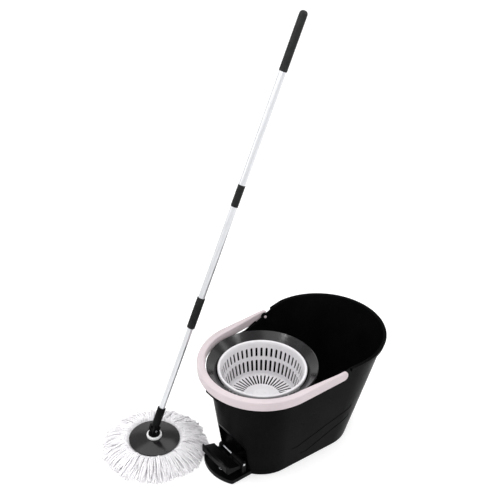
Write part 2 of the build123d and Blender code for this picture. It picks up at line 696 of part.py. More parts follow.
with BuildPart() as drive_pinion:
    with BuildSketch(side_plane(0, crown_face_y - crown_disc, gear_axle_z)):
        Circle(pinion_pitch_r - dedendum)
        with PolarLocations(0, pinion_teeth, start_angle=mesh_angle + 180 + 180 / pinion_teeth):
            Polygon(*tooth_points(pinion_pitch_r), align=None)
        Circle(gear_axle_r + pin_clearance, mode=Mode.SUBTRACT)
    extrude(amount=crown_face_y - crown_disc - lever_y + lever_thickness / 2)
drive_pinion.part.label = "drive_pinion"
export_step(drive_pinion.part, "parts/drive_pinion.step")

with BuildPart() as shaft_pinion:
    with BuildSketch(Plane.XY.offset(shaft_gear_z - gear_face / 2)):
        Circle(pinion_pitch_r - dedendum)
        with PolarLocations(0, pinion_teeth, start_angle=270 + 180 / pinion_teeth):
            Polygon(*tooth_points(pinion_pitch_r), align=None)
        Circle(shaft_r, mode=Mode.SUBTRACT)
    extrude(amount=gear_face)
shaft_pinion.part.label = "shaft_pinion"
export_step(shaft_pinion.part, "parts/shaft_pinion.step")

with BuildPart() as drive_shaft:
    with BuildSketch(Plane.XY.offset(shaft_gear_z - gear_face / 2)):
        Circle(shaft_r)
    extrude(amount=shaft_top_z - shaft_gear_z + gear_face / 2)
    chamfer(drive_shaft.edges().filter_by(GeomType.CIRCLE), 0.5)
drive_shaft.part.label = "drive_shaft"
export_step(drive_shaft.part, "parts/drive_shaft.step")

with BuildPart() as shaft_clip:
    with BuildSketch(Plane.XY.offset(chamber_roof_z + part_gap)):
        Circle(shaft_r + 2.6)
        Circle(shaft_r, mode=Mode.SUBTRACT)
        with Locations((shaft_r, 0)):
            Rectangle(6, 3, mode=Mode.SUBTRACT)
    extrude(amount=1.0)
shaft_clip.part.label = "shaft_clip"
export_step(shaft_clip.part, "parts/shaft_clip.step")

# one-way clutch: needles on the shaft, drawn steel shell in the hub
with BuildPart() as clutch_rollers:
    with BuildSketch(Plane.XY.offset(clutch_base_z + 1)):
        with PolarLocations(shaft_r + roller_r + 0.01, roller_count):
            Circle(roller_r)
    extrude(amount=clutch_length - 2)
clutch_rollers.part.label = "clutch_rollers"
export_step(clutch_rollers.part, "parts/clutch_rollers.step")

with BuildPart() as clutch_shell:
    ring(Plane.XY.offset(clutch_base_z), clutch_shell_r, clutch_shell_r - clutch_shell_wall,
         clutch_length)
clutch_shell.part.label = "clutch_shell"
export_step(clutch_shell.part, "parts/clutch_shell.step")

with BuildPart() as drive_hub:
    ring(Plane.XY.offset(hub_base_z), hub_flange_r, hub_bore_r, hub_flange)
    with BuildSketch(Plane.XY.offset(hub_base_z + hub_flange)):
        RegularPolygon(hub_hex / 2, 6, major_radius=False)
        Circle(hub_bore_r, mode=Mode.SUBTRACT)
    extrude(amount=hub_top_z - hub_base_z - hub_flange)
    with BuildSketch(Plane.XY.offset(clutch_base_z)):
        Circle(clutch_shell_r)
    extrude(amount=clutch_length, mode=Mode.SUBTRACT)
    with BuildSketch(Plane.XY.offset(clutch_top_z)):
        Circle(hub_bore_r)
    extrude(amount=hub_top_z - clutch_top_z - 1.5, mode=Mode.SUBTRACT)
    with BuildSketch(Plane.XY.offset(hub_top_z - 1.5)):
        Circle(shaft_r + 1)
    extrude(amount=1.5)
drive_hub.part.label = "drive_hub"
export_step(drive_hub.part, "parts/drive_hub.step")

# ================================================================ pedal
with BuildPart() as beside_niche:
    add(shell_envelope.part)
    with BuildSketch(Plane.XY):
        Rectangle(4 * collar_r, 2 * (niche_half_width - part_gap))
    extrude(amount=rim_z, mode=Mode.SUBTRACT)

with BuildPart() as pedal_tray:
    # the tongue on the floor in front of the bucket
    with BuildSketch(Plane.XY.offset(tray_bottom_z)) as tray_outline:
        with BuildLine():
            Line((tray_back_x, -tray_half_width), (tray_corner_x, -tray_half_width))
            ThreePointArc((tray_corner_x, -tray_half_width), (tray_reach_x, 0),
                          (tray_corner_x, tray_half_width))
            Line((tray_corner_x, tray_half_width), (tray_back_x, tray_half_width))
            Line((tray_back_x, tray_half_width), (tray_back_x, -tray_half_width))
        make_face()
        fillet(tray_outline.vertices().group_by(Axis.Y)[0].sort_by(Axis.X)[0], tray_near_corner_r)
        fillet(tray_outline.vertices().group_by(Axis.Y)[-1].sort_by(Axis.X)[0], tray_far_corner_r)
    extrude(amount=tray_height - tray_bottom_z)
    fillet(pedal_tray.edges().group_by(Axis.Z)[0].filter_by(lambda e: e.center().X < tray_back_x - 1), 2.0)
    with BuildSketch(Plane.XY.offset(tray_floor_z)):
        offset(tray_outline.sketch.moved(Location((0, 0, tray_floor_z - tray_bottom_z))), amount=-tray_wall)
    extrude(amount=2 * tray_height, mode=Mode.SUBTRACT)
    # inside the niche the tongue is a plain floor with an upright flange for its screws
    add(beside_niche.part, mode=Mode.SUBTRACT)
    with BuildSketch(Plane.XY.offset(tray_bottom_z)):
        with Locations((tray_back_x, 0)):
            Rectangle(tray_wall, 2 * niche_half_width - 4, align=(Align.MAX, Align.CENTER))
    extrude(amount=tray_flange_z - tray_bottom_z)
    with BuildSketch(side_plane(0, lever_y + lever_thickness / 2 + 3, 0)):
        with Locations((tray_back_x - tray_wall / 2, tray_floor_z + 7)):
            Rectangle(2 * tray_wall, 2 * tray_height, align=(Align.CENTER, Align.MIN))
    extrude(amount=lever_thickness + 6, mode=Mode.SUBTRACT)
    with BuildSketch(Plane(origin=(tray_back_x + 1, 0, 0), x_dir=(0, 1, 0), z_dir=(1, 0, 0))):
        with Locations(*tray_screw_points):
            Circle(screw_r)
    extrude(amount=-2 * tray_wall, mode=Mode.SUBTRACT)
    # ears for the hinge pin
    for ear_y in (near_ear_y, far_ear_y + ear_thickness):
        with BuildSketch(side_plane(0, ear_y, 0)):
            with Locations((hinge_x, (tray_bottom_z + 1 + hinge_z) / 2)):
                Rectangle(ear_width, hinge_z - tray_bottom_z - 1)
            with Locations((hinge_x, hinge_z)):
                Circle(ear_width / 2)
                Circle(hinge_pin_r, mode=Mode.SUBTRACT)
        extrude(amount=ear_thickness)
    # locating stub under the return spring
    with BuildSketch(Plane.XY.offset(tray_floor_z - 0.5)):
        with Locations((spring_x, 0)):
            Circle(spring_r - 2 * spring_wire_r)
    extrude(amount=5)
pedal_tray.part.label = "pedal_tray"
export_step(pedal_tray.part, "parts/pedal_tray.step")

with BuildPart() as tray_screws:
    with BuildSketch(Plane(origin=(tray_back_x - tray_wall - screw_head_depth, 0, 0), x_dir=(0, 1, 0),
                           z_dir=(1, 0, 0))):
        with Locations(*tray_screw_points):
            Circle(screw_head_r)
    extrude(amount=screw_head_depth)
    with BuildSketch(Plane(origin=(tray_back_x - tray_wall, 0, 0), x_dir=(0, 1, 0), z_dir=(1, 0, 0))):
        with Locations(*tray_screw_points):
            Circle(screw_r)
    extrude(amount=tray_wall + screw_boss_height - 3)
tray_screws.part.label = "tray_screws"
export_step(tray_screws.part, "parts/tray_screws.step")

with BuildPart() as hinge_pin:
    with BuildSketch(side_plane(hinge_x, far_ear_y + ear_thickness + 1, hinge_z)):
        Circle(hinge_pin_r)
    extrude(amount=far_ear_y + 1 - near_ear_y + 2 * ear_thickness)
    with BuildSketch(side_plane(hinge_x, near_ear_y - ear_thickness, hinge_z)):
        Circle(hinge_pin_r + 0.4)
    extrude(amount=1.0)
    fillet(hinge_pin.edges().group_by(Axis.Y)[0], 0.4)
hinge_pin.part.label = "hinge_pin"
export_step(hinge_pin.part, "parts/hinge_pin.step")

with BuildPart() as pedal_spring:
    with BuildLine():
        Helix(pitch=spring_height / spring_turns, height=spring_height, radius=spring_r,
              center=(spring_x, 0, spring_base_z))
    with BuildSketch(Plane(origin=(spring_x + spring_r, 0, spring_base_z), z_dir=(0, 1, 0))):
        Circle(spring_wire_r)
    sweep(is_frenet=True)
pedal_spring.part.label = "pedal_spring"
export_step(pedal_spring.part, "parts/pedal_spring.step")

with BuildPart() as foot_pedal:
    # side profile: barrel round the pin, ramp rising to a raised outer lip
    with BuildSketch(side_plane(0, pedal_half_width, 0)):
        with BuildLine():
            Polyline((hinge_x, hinge_z - pedal_barrel_r), (hinge_x - pedal_barrel_r, pedal_under_z),
                     (pedal_tip_x + 6, pedal_under_z), (pedal_tip_x, pedal_under_z + 7),
                     (pedal_tip_x, pedal_tip_z - 2), (pedal_tip_x + 2, pedal_tip_z),
                     (pedal_tip_x + pedal_lip, pedal_tip_z), (ramp_outer_x, ramp_outer_z),
                     (pedal_plate_inner_x, ramp_inner_z), (hinge_x, hinge_z + pedal_barrel_r),
                     (hinge_x, hinge_z - pedal_barrel_r))
        make_face()
        with Locations((hinge_x, hinge_z)):
            Circle(pedal_barrel_r)
    extrude(amount=2 * pedal_half_width)
    # the raised lip dips in the middle for the shoe
    with BuildSketch(Plane(origin=(pedal_tip_x - 1, 0, pedal_tip_z + scoop_r - scoop_depth),
                           z_dir=(1, 0, 0))):
        Circle(scoop_r)
    extrude(amount=pedal_lip + 8, mode=Mode.SUBTRACT)
    # corners of the foot plate
    fillet(foot_pedal.edges().filter_by(Axis.Z).filter_by(lambda e: e.center().X < pedal_tip_x + 1), 3.0)
    # the pin is bare between the covered half and the far knuckle
    with BuildSketch(side_plane(0, pedal_window_far_y, 0)):
        with Locations((pedal_plate_inner_x, 0)):
            Rectangle(60, 4 * hinge_z, align=(Align.MIN, Align.CENTER))
    extrude(amount=pedal_window_far_y - pedal_window_y, mode=Mode.SUBTRACT)
    with BuildSketch(side_plane(0, pedal_half_width + 1, 0)):
        with Locations((pedal_plate_inner_x - ear_relief, 0)):
            Rectangle(60, 4 * hinge_z, align=(Align.MIN, Align.CENTER))
    extrude(amount=pedal_half_width + 1 - far_ear_y + part_gap, mode=Mode.SUBTRACT)
    # slot for the lever's hub, and the bore
    with BuildSketch(side_plane(0, lever_y + lever_thickness / 2 + lever_fit, 0)):
        with Locations((pedal_plate_inner_x + 0.5, 0)):
            Rectangle(60, 4 * hinge_z, align=(Align.MIN, Align.CENTER))
    extrude(amount=lever_thickness + 2 * lever_fit, mode=Mode.SUBTRACT)
    with BuildSketch(side_plane(hinge_x, pedal_half_width + 1, hinge_z)):
        Circle(hinge_pin_r + pin_clearance)
    extrude(amount=2 * pedal_half_width + 2, mode=Mode.SUBTRACT)
    with BuildSketch(Plane.XY.offset(pedal_under_z - 1)):
        with Locations(*lever_screw_points):
            Circle(screw_r)
    extrude(amount=lever_screw_length - 1.0, mode=Mode.SUBTRACT)
    # tread ribs across the ramp
    with BuildSketch(tread_plane):
        with GridLocations(tread_length / rib_count, 0, rib_count, 1):
            SlotOverall(2 * pedal_half_width - 16, rib_width, rotation=90)
    extrude(amount=tread_height)
foot_pedal.part.label = "foot_pedal"
export_step(foot_pedal.part, "parts/foot_pedal.step")

with BuildPart() as sector_lever:
    with BuildSketch(side_plane(hinge_x, lever_y + lever_thickness / 2, hinge_z)) as sector:
        Circle(sector_pitch_r - dedendum)
        Circle(sector_pitch_r - dedendum - lever_rim, mode=Mode.SUBTRACT)
        with BuildLine():
            first_angle = radians(mesh_angle - (teeth_below + 0.5) * 360 / sector_teeth)
            last_angle = radians(mesh_angle + (teeth_above + 0.5) * 360 / sector_teeth)
            reach = 2 * sector_pitch_r
            Polyline((0, 0), (reach * cos(first_angle), reach * sin(first_angle)),
                     (reach * cos(last_angle), reach * sin(last_angle)), (0, 0))
        make_face(mode=Mode.INTERSECT)
        with PolarLocations(0, teeth_below + teeth_above + 1,
                            start_angle=mesh_angle - teeth_below * 360 / sector_teeth,
                            angular_range=(teeth_below + teeth_above + 1) * 360 / sector_teeth):
            Polygon(*tooth_points(sector_pitch_r), align=None)
        arm_angle = (first_angle + last_angle) / 2
        arm_middle = 0.5 * (sector_pitch_r - 3)
        with Locations((arm_middle * cos(arm_angle), arm_middle * sin(arm_angle))):
            Rectangle(sector_pitch_r - 6, lever_arm_width, rotation=degrees(arm_angle))
        with BuildLine():
            Polyline((3, -5), (lever_tail_x - hinge_x, pedal_under_z - lever_tail_height - hinge_z),
                     (lever_tail_x - hinge_x, pedal_under_z - hinge_z), (-5, pedal_under_z - hinge_z),
                     (-3, -2), (3, -5))
        make_face()
        Circle(pedal_barrel_r - 0.5)
        Circle(hinge_pin_r + pin_clearance, mode=Mode.SUBTRACT)
    extrude(amount=lever_thickness)
    with BuildSketch(Plane.XY.offset(pedal_under_z + 1)):
        with Locations(*lever_screw_points):
            Circle(screw_r)
    extrude(amount=-3 * lever_tail_height, mode=Mode.SUBTRACT)
    with BuildSketch(Plane.XY.offset(lever_screw_seat_z)):
        with Locations(*lever_screw_points):
            Circle(screw_head_r + 0.1)
    extrude(amount=-3 * lever_tail_height, mode=Mode.SUBTRACT)
sector_lever.part.label = "sector_lever"
export_step(sector_lever.part, "parts/sector_lever.step")

with BuildPart() as lever_screws:
    with BuildSketch(Plane.XY.offset(lever_screw_seat_z - screw_head_depth)):
        with Locations(*lever_screw_points):
            Circle(screw_head_r)
    extrude(amount=screw_head_depth)
    with BuildSketch(Plane.XY.offset(lever_screw_seat_z)):
        with Locations(*lever_screw_points):
            Circle(screw_r)
    extrude(amount=lever_screw_length)
lever_screws.part.label = "lever_screws"
export_step(lever_screws.part, "parts/lever_screws.step")

# ================================================================ basket and collar
with BuildPart() as wringer_basket:
    with BuildSketch(Plane.XZ):
        with BuildLine():
            Polyline((0, basket_floor_z + dome_rise), (dome_r * 0.5, basket_floor_z + dome_rise * 0.86),
                     (dome_r, basket_floor_z), (basket_floor_r - 5, basket_floor_z),
                     (basket_floor_r - basket_wall, basket_floor_z + 4),
                     (basket_wall_top_r - basket_wall, wall_top_z),
                     (basket_wall_top_r, low_rim_z - 0.8), (basket_wall_top_r + 1.5, low_rim_z),
                     (basket_rim_r - 1.5, low_rim_z), (basket_rim_r, low_rim_z - 1.5),
                     (basket_rim_r, wall_top_z - 2), (basket_rim_r - 1.8, wall_top_z - 2),
                     (basket_rim_r - 2.0, low_rim_z - 3), (basket_wall_top_r, wall_top_z - 1),
                     (basket_floor_r, basket_floor_z + 3),
                     (basket_floor_r - 4, basket_floor_z - basket_wall),
                     (0, basket_floor_z - basket_wall), (0, basket_floor_z + dome_rise))
        make_face()
    revolve(axis=Axis.Z)
    # socket that drops over the hub
    with BuildSketch(Plane.XY.offset(socket_base_z)):
        Circle(hub_flange_r + 0.5)
    extrude(amount=basket_floor_z - socket_base_z)
    with BuildSketch(Plane.XY.offset(socket_base_z)):
        RegularPolygon(hub_hex / 2 + hub_clearance, 6, major_radius=False)
    extrude(amount=hub_top_z + part_gap - socket_base_z, mode=Mode.SUBTRACT)
    # drain slots: two rows in the wall, one in the floor
    for low_z, high_z in (upper_slots_z, lower_slots_z):
        with BuildSketch(Plane.YZ.offset(basket_floor_r - 12)):
            with Locations((0, (low_z + high_z) / 2)):
                SlotOverall(high_z - low_z, slot_width, rotation=90)
        slot = extrude(amount=40, mode=Mode.PRIVATE)
        with PolarLocations(0, slot_count):
            add(slot, mode=Mode.SUBTRACT)
    with BuildSketch(Plane.XY.offset(basket_floor_z - 2 * basket_wall)):
        with PolarLocations((floor_slots_r[0] + floor_slots_r[1]) / 2, slot_count):
            SlotOverall(floor_slots_r[1] - floor_slots_r[0], slot_width * 0.75)
    extrude(amount=4 * basket_wall, mode=Mode.SUBTRACT)
wringer_basket.part.label = "wringer_basket"
export_step(wringer_basket.part, "parts/wringer_basket.step")

with BuildPart() as splash_collar:
    with BuildSketch(Plane.XZ):
        with BuildLine():
            Polyline((collar_r, low_rim_z), (collar_r, collar_top_z - 2.5),
                     (collar_r - 0.8, collar_top_z - 0.8),
                     (collar_r - 2.5, collar_top_z), (collar_throat_r + 0.8, collar_throat_z),
                     (collar_throat_r, collar_throat_z - 1.2), (collar_throat_r, collar_throat_z - 9),
                     (collar_throat_r + collar_wall, collar_throat_z - 9),
                     (collar_throat_r + collar_wall, collar_throat_z - 2.5),
                     (collar_skirt_r - collar_wall, collar_skirt_top_z),
                     (collar_skirt_r - collar_wall, collar_skirt_z), (collar_skirt_r, collar_skirt_z),
                     (collar_skirt_r, low_rim_z), (collar_r, low_rim_z))
        make_face()
    revolve(axis=Axis.Z)
splash_collar.part.label = "splash_collar"
export_step(splash_collar.part, "parts/splash_collar.step")

# ================================================================ bail
with BuildPart() as bail:
    with BuildSketch(bail_plane.offset(-bail_height / 2)):
        with BuildLine():
            Line((bail_end_r, -bail_arm_outer_y), (-bail_pivot_x, -bail_outer_r))
            ThreePointArc((-bail_pivot_x, -bail_outer_r), (-bail_pivot_x - bail_outer_r, 0),
                          (-bail_pivot_x, bail_outer_r))
            Line((-bail_pivot_x, bail_outer_r), (bail_end_r, bail_arm_outer_y))
            Line((bail_end_r, bail_arm_outer_y), (bail_end_r, bail_arm_inner_y))
            Line((bail_end_r, bail_arm_inner_y), (-bail_end_r, bail_arm_inner_y))
            Line((-bail_end_r, bail_arm_inner_y), (-bail_pivot_x, bail_inner_r))
            ThreePointArc((-bail_pivot_x, bail_inner_r), (-bail_pivot_x - bail_inner_r, 0),
                          (-bail_pivot_x, -bail_inner_r))
            Line((-bail_pivot_x, -bail_inner_r), (-bail_end_r, -bail_arm_inner_y))
            Line((-bail_end_r, -bail_arm_inner_y), (bail_end_r, -bail_arm_inner_y))
            Line((bail_end_r, -bail_arm_inner_y), (bail_end_r, -bail_arm_outer_y))
        make_face()
    extrude(amount=bail_height)
    # round ends about the pivots
    fillet(bail.edges().filter_by(Axis.Y).sort_by(Axis.X)[-4:], bail_end_r - 0.2)
    fillet(bail.edges().group_by(SortBy.LENGTH)[-1] + bail.edges().group_by(SortBy.LENGTH)[-2], bail_round)
    # hand section: a shallow step on the inner face
    with BuildSketch(bail_plane.offset(-bail_height / 2 + bail_round)):
        with Locations((-bail_pivot_x, 0)):
            Circle(bail_inner_r + 1)
            Circle(bail_inner_r - grip_step, mode=Mode.SUBTRACT)
        with BuildLine():
            grip_x = 2 * bail_outer_r * cos(radians(grip_arc))
            grip_y = 2 * bail_outer_r * sin(radians(grip_arc))
            Polyline((-bail_pivot_x, 0), (-bail_pivot_x - grip_x, -grip_y), (-bail_pivot_x - grip_x, grip_y),
                     (-bail_pivot_x, 0))
        make_face(mode=Mode.INTERSECT)
    extrude(amount=bail_height - 2 * bail_round)
    with BuildSketch(side_plane(bail_pivot_x, 2 * bail_outer_r, bail_pivot_z)):
        Circle(bail_pin_r)
    extrude(amount=4 * bail_outer_r, mode=Mode.SUBTRACT)
bail.part.label = "bail"
export_step(bail.part, "parts/bail.step")

with BuildPart() as bail_pins:
    for side in (1, -1):
        with BuildSketch(side_plane(bail_pivot_x, side * (bail_arm_outer_y + bail_pin_head), bail_pivot_z)):
            Circle(bail_pin_r)
        extrude(amount=side * (bail_arm_outer_y + bail_pin_head - bail_pin_end_y))
    fillet(bail_pins.edges(), 0.6)
bail_pins.part.label = "bail_pins"
export_step(bail_pins.part, "parts/bail_pins.step")

# ================================================================ mop head
with BuildPart() as mop_strands:
    with BuildSketch(mop_side_plane):
        with BuildLine():
            Polyline((strand_inner_r, 0), (strand_r - 6, 0))
            ThreePointArc((strand_r - 6, 0), (strand_r, 7), (strand_r - 9, 16))
            ThreePointArc((strand_r - 9, 16), (plate_r + 20, strand_height - 1.5),
                          (strand_inner_r, strand_height - 2))
            Line((strand_inner_r, strand_height - 2), (strand_inner_r, 0))
        make_face()
    revolve(axis=mop_axis)
mop_strands.part.label = "mop_strands"
export_step(mop_strands.part, "parts/mop_strands.step")

with BuildPart() as strand_carrier:
    ring(mop_plane.offset(strand_height + part_gap), carrier_outer_r, carrier_inner_r, carrier_height)
    fillet(strand_carrier.edges().group_by(Axis.Z)[0], 0.8)
strand_carrier.part.label = "strand_carrier"
export_step(strand_carrier.part, "parts/strand_carrier.step")

with BuildPart() as mop_plate:
    with BuildSketch(mop_side_plane):
        with BuildLine():
            ThreePointArc((plate_r, plate_rim_z + plate_wall - 1), (plate_shoulder_r, plate_shoulder_z),
                          (plate_boss_r, plate_crown_z))
            Polyline((plate_boss_r, plate_crown_z), (plate_boss_r, hub_ring_z),
                     (swivel_neck_r + pin_clearance, hub_ring_z),
                     (swivel_neck_r + pin_clearance, plate_neck_z),
                     (plate_boss_r, plate_neck_z), (plate_boss_r, plate_crown_z - plate_wall))
            ThreePointArc((plate_boss_r, plate_crown_z - plate_wall),
                          (plate_shoulder_r, plate_shoulder_z - plate_wall), (plate_r - 2, plate_rim_z))
            Polyline((plate_r - 2, plate_rim_z), (plate_r, plate_rim_z),
                     (plate_r, plate_rim_z + plate_wall - 1))
        make_face()
    revolve(axis=mop_axis)
mop_plate.part.label = "mop_plate"
export_step(mop_plate.part, "parts/mop_plate.step")

with BuildPart() as hub_ring:
    ring(mop_plane.offset(hub_ring_seat_z), hub_ring_r, plate_boss_r,
         hub_ring_z + hub_ring_height - hub_ring_seat_z)
    ring(mop_plane.offset(hub_ring_z), plate_boss_r, swivel_neck_r + 2, hub_ring_height)
    fillet(hub_ring.edges().group_by(Axis.Z)[-1], 1.0)
hub_ring.part.label = "hub_ring"
export_step(hub_ring.part, "parts/hub_ring.step")

with BuildPart() as swivel:
    ring(mop_plane.offset(washer_top_z), swivel_neck_r, screw_r, swivel_base_z - washer_top_z)
    ring(mop_plane.offset(swivel_base_z), swivel_r, 0, swivel_disc)
    with BuildSketch(mop_plane_side(tongue_half)):
        with Locations((0, (swivel_base_z + pivot_z) / 2)):
            Rectangle(2 * tongue_r, pivot_z - swivel_base_z)
        with Locations((0, pivot_z)):
            Circle(tongue_r)
    extrude(amount=2 * tongue_half)
    with BuildSketch(mop_plane_side(tongue_half + 1)):
        with Locations((0, pivot_z)):
            Circle(fork_pin_r + pin_clearance)
    extrude(amount=2 * tongue_half + 2, mode=Mode.SUBTRACT)
    with BuildSketch(mop_plane.offset(washer_top_z)):
        Circle(screw_r)
    extrude(amount=swivel_screw_depth, mode=Mode.SUBTRACT)
swivel.part.label = "swivel"
export_step(swivel.part, "parts/swivel.step")

with BuildPart() as swivel_washer:
    ring(mop_plane.offset(washer_top_z - washer_height), plate_boss_r - 2, screw_r, washer_height)
swivel_washer.part.label = "swivel_washer"
export_step(swivel_washer.part, "parts/swivel_washer.step")

with BuildPart() as swivel_screw:
    ring(mop_plane.offset(washer_top_z - washer_height - screw_head_depth), screw_head_r + 0.8, 0,
         screw_head_depth)
    ring(mop_plane.offset(washer_top_z - washer_height), screw_r, 0, washer_height + swivel_screw_depth - 1)
swivel_screw.part.label = "swivel_screw"
export_step(swivel_screw.part, "parts/swivel_screw.step")

# ================================================================ pole
with BuildPart() as pole_fork:
    ring(pole.offset(fork_crotch), fork_r, 0, fork_length - fork_crotch)
    fillet(pole_fork.edges().group_by(Axis.Z)[-1], 0.8)
    with BuildSketch(across_pole(fork_r)):
        with Locations((0, (fork_crotch + 2) / 2)):
            Rectangle(2 * fork_ear_r, fork_crotch + 2)
        Circle(fork_ear_r)
    extrude(amount=2 * fork_r)
    with BuildSketch(across_pole(tongue_half + part_gap)):
        with Locations((0, fork_crotch)):
            Rectangle(6 * fork_r, 6 * fork_ear_r, align=(Align.CENTER, Align.MAX))
    extrude(amount=2 * (tongue_half + part_gap), mode=Mode.SUBTRACT)
    with BuildSketch(across_pole(2 * fork_r)):
        Circle(fork_pin_r)
    extrude(amount=4 * fork_r, mode=Mode.SUBTRACT)
    ring(pole.offset(lower_tube_start), lower_tube_r, 0, fork_length, mode=Mode.SUBTRACT)
pole_fork.part.label = "pole_fork"
export_step(pole_fork.part, "parts/pole_fork.step")

with BuildPart() as fork_pin:
    with BuildSketch(across_pole(fork_r + 0.6)):
        Circle(fork_pin_r)
    extrude(amount=2 * fork_r + 1.2)
    fillet(fork_pin.edges().filter_by(GeomType.CIRCLE), 0.6)
fork_pin.part.label = "fork_pin"
export_step(fork_pin.part, "parts/fork_pin.step")

with BuildPart() as lower_tube:
    ring(pole.offset(lower_tube_start), lower_tube_r, lower_tube_r - tube_wall,
         lower_tube_end - lower_tube_start)
lower_tube.part.label = "lower_tube"
export_step(lower_tube.part, "parts/lower_tube.step")

with BuildPart() as tube_guide:
    ring(pole.offset(lower_tube_end), lower_tube_r, 3, guide_length / 2)
    ring(pole.offset(lower_tube_end - guide_length / 2), lower_tube_r - tube_wall, 3, guide_length / 2)
tube_guide.part.label = "tube_guide"
export_step(tube_guide.part, "parts/tube_guide.step")

with BuildPart() as upper_tube:
    ring(pole.offset(sleeve_start + collet_length + 2), upper_tube_r, upper_bore_r,
         connector_middle - 2 - sleeve_start - collet_length - 2)
upper_tube.part.label = "upper_tube"
export_step(upper_tube.part, "parts/upper_tube.step")

with BuildPart() as lock_collet:
    ring(pole.offset(sleeve_start + 2), upper_tube_r, upper_bore_r, collet_length)
    with BuildSketch(pole.offset(sleeve_start + 2)):
        Rectangle(4 * upper_tube_r, 1.2)
    extrude(amount=collet_length - 2, mode=Mode.SUBTRACT)
lock_collet.part.label = "lock_collet"
export_step(lock_collet.part, "parts/lock_collet.step")

with BuildPart() as lock_sleeve:
    ring(pole.offset(sleeve_start), sleeve_r, upper_bore_r, sleeve_wall)
    ring(pole.offset(sleeve_start + sleeve_wall), sleeve_r, upper_tube_r + pin_clearance,
         sleeve_length - sleeve_wall)
    chamfer(lock_sleeve.edges().group_by(pole_height)[0].group_by(SortBy.LENGTH)[-1], 1.0)
    chamfer(lock_sleeve.edges().group_by(pole_height)[-1].group_by(SortBy.LENGTH)[-1], 1.0)
    with BuildSketch(pole.offset(sleeve_start + 12)):
        with PolarLocations(sleeve_r + 0.6, sleeve_flutes):
            Circle(1.3)
    extrude(amount=sleeve_length - 24, mode=Mode.SUBTRACT)
lock_sleeve.part.label = "lock_sleeve"
export_step(lock_sleeve.part, "parts/lock_sleeve.step")

with BuildPart() as pole_connector:
    ring(pole.offset(connector_start), connector_r, upper_tube_r, connector_length)
    ring(pole.offset(connector_middle - 2), upper_tube_r, upper_bore_r, 4)
    chamfer(pole_connector.edges().group_by(pole_height)[0].group_by(SortBy.LENGTH)[-1], 0.4)
    chamfer(pole_connector.edges().group_by(pole_height)[-1].group_by(SortBy.LENGTH)[-1], 0.4)
    for groove in range(1, connector_grooves + 1):
        groove_at = connector_start + groove * connector_length / (connector_grooves + 1)
        ring(pole.offset(groove_at - 0.8), connector_r + 1, connector_r - 0.3, 1.6, mode=Mode.SUBTRACT)
pole_connector.part.label = "pole_connector"
export_step(pole_connector.part, "parts/pole_connector.step")

with BuildPart() as top_tube:
    ring(pole.offset(connector_middle + 2), upper_tube_r, upper_bore_r, top_tube_end - connector_middle - 2)
top_tube.part.label = "top_tube"
export_step(top_tube.part, "parts/top_tube.step")

with BuildPart() as hand_grip:
    ring(pole.offset(grip_start), grip_r, 0, grip_length)
    fillet(hand_grip.edges().group_by(pole_height)[-1], grip_r - 1)
    chamfer(hand_grip.edges().group_by(pole_height)[0], 0.9)
    ring(pole.offset(grip_start), upper_tube_r, 0, top_tube_end - grip_start, mode=Mode.SUBTRACT)
hand_grip.part.label = "hand_grip"
export_step(hand_grip.part, "parts/hand_grip.step")
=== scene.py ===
"""Looks of the spin mop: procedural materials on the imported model, modelled strands and return spring,
a pale studio floor, soft lights and the camera."""
import json
import math
import random

import bpy
from mathutils import Matrix, Vector


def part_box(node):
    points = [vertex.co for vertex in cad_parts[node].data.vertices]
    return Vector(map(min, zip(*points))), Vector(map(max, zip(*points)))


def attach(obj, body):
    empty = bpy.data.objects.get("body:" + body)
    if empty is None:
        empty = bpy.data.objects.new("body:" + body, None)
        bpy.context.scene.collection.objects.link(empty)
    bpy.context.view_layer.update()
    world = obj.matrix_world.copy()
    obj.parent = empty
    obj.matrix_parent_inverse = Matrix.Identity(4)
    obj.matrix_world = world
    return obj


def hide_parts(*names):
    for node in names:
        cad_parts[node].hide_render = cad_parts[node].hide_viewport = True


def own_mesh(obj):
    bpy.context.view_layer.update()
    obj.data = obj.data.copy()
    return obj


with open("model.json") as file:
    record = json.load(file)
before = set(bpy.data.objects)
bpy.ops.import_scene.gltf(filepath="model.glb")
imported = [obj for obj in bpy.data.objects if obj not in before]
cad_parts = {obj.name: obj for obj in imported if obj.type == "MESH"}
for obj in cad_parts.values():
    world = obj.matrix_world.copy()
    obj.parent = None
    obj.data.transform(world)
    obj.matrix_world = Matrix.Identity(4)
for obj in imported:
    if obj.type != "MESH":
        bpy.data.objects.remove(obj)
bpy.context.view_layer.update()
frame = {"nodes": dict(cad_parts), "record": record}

nodes = frame["nodes"]
slots = {piece["node"]: piece["material_slot"] for piece in frame["record"]["subparts"]}
LEAN = math.radians(23.75)       # pole from upright, about Y


